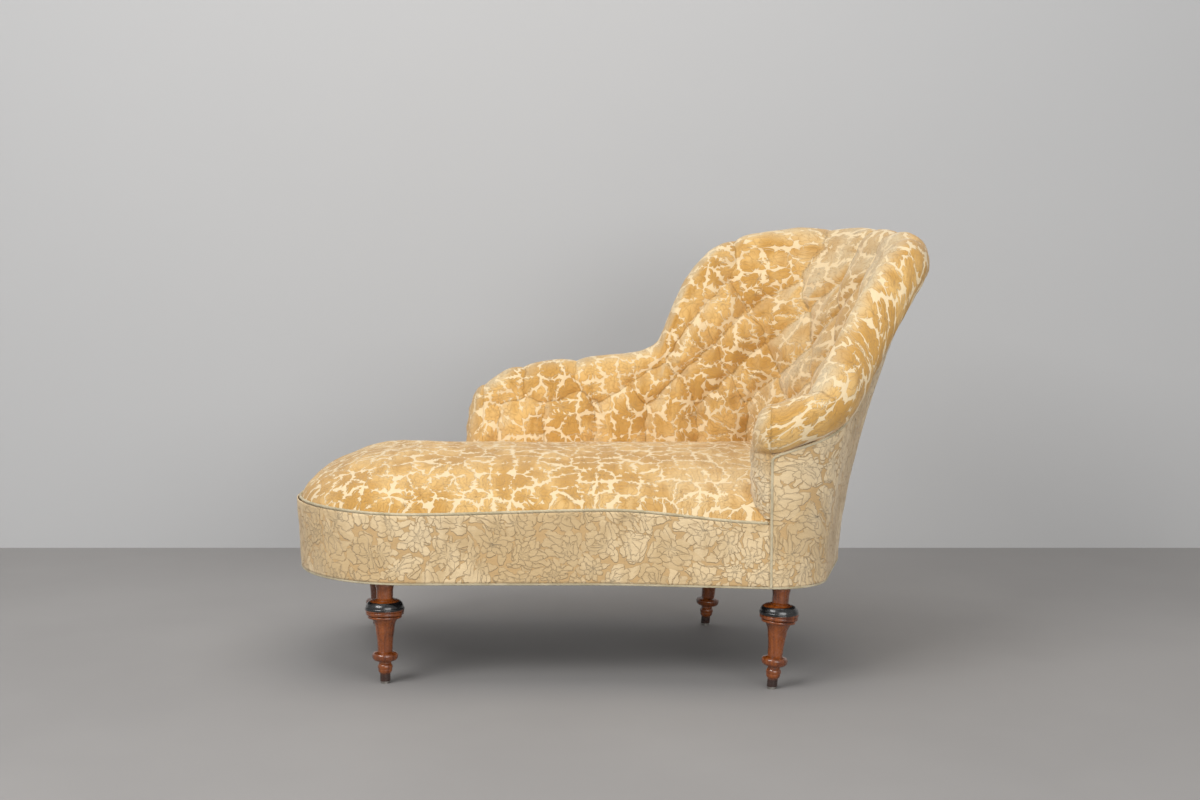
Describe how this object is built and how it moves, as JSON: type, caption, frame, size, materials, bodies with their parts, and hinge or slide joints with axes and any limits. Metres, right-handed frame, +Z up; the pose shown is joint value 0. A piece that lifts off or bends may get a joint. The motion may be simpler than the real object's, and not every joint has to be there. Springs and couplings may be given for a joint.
{
  "type": "chaise longue",
  "caption": "Buttoned chaise longue with a short near arm, a high flared wrap-round back, a long low far arm and four turned legs.",
  "frame": {"origin": "on the floor, under the middle of the outer box", "axes": "+X runs to the head end, +Y to the far side with the long low arm, +Z up"},
  "size_m": [1.3492, 0.8447, 0.917],
  "materials": {
    "polished_wood": "polished, with an ebonised ring",
    "beech": "planed",
    "figured_velvet": "figured velvet pile",
    "sand_velvet": "figured velvet, paler",
    "trim_cord": "twisted cord",
    "hessian": "plain weave",
    "webbing": "jute webbing",
    "stuffing": "fibre stuffing in cloth",
    "black_cotton": "plain weave",
    "steel": "worn"
  },
  "bodies": {
    "root": {"back_upright_far": "beech", "back_upright_middle": "beech", "back_upright_near": "beech", "back_upright_shoulder": "beech", "block_foot_far": "beech", "block_foot_near": "beech", "block_head_far": "beech", "block_head_near": "beech", "border_cover": "sand_velvet", "bottom_cloth": "black_cotton", "buttoned_pad": "figured_velvet", "crest_rail": "beech", "crest_roll": "figured_velvet", "far_arm_front": "sand_velvet", "far_arm_post": "beech", "far_arm_rail": "beech", "far_arm_roll": "figured_velvet", "glide_foot_far": "steel", "glide_foot_near": "steel", "glide_head_far": "steel", "glide_head_near": "steel", "inner_hessian": "hessian", "leg_foot_far": "polished_wood", "leg_foot_near": "polished_wood", "leg_head_far": "polished_wood", "leg_head_near": "polished_wood", "lower_cord": "trim_cord", "near_arm_front": "sand_velvet", "near_arm_post": "beech", "near_arm_rail": "beech", "near_arm_roll": "figured_velvet", "outer_back_cord": "trim_cord", "outer_cover_far": "sand_velvet", "outer_cover_head": "sand_velvet", "seat_cord": "trim_cord", "seat_cushion": "figured_velvet", "seat_rail_far": "beech", "seat_rail_foot": "beech", "seat_rail_head": "beech", "seat_rail_near": "beech", "seat_stuffing": "stuffing", "spring_hessian": "hessian", "tacking_rails": "beech", "webbing_across": "webbing", "webbing_along": "webbing"}
  },
  "joints": []
}
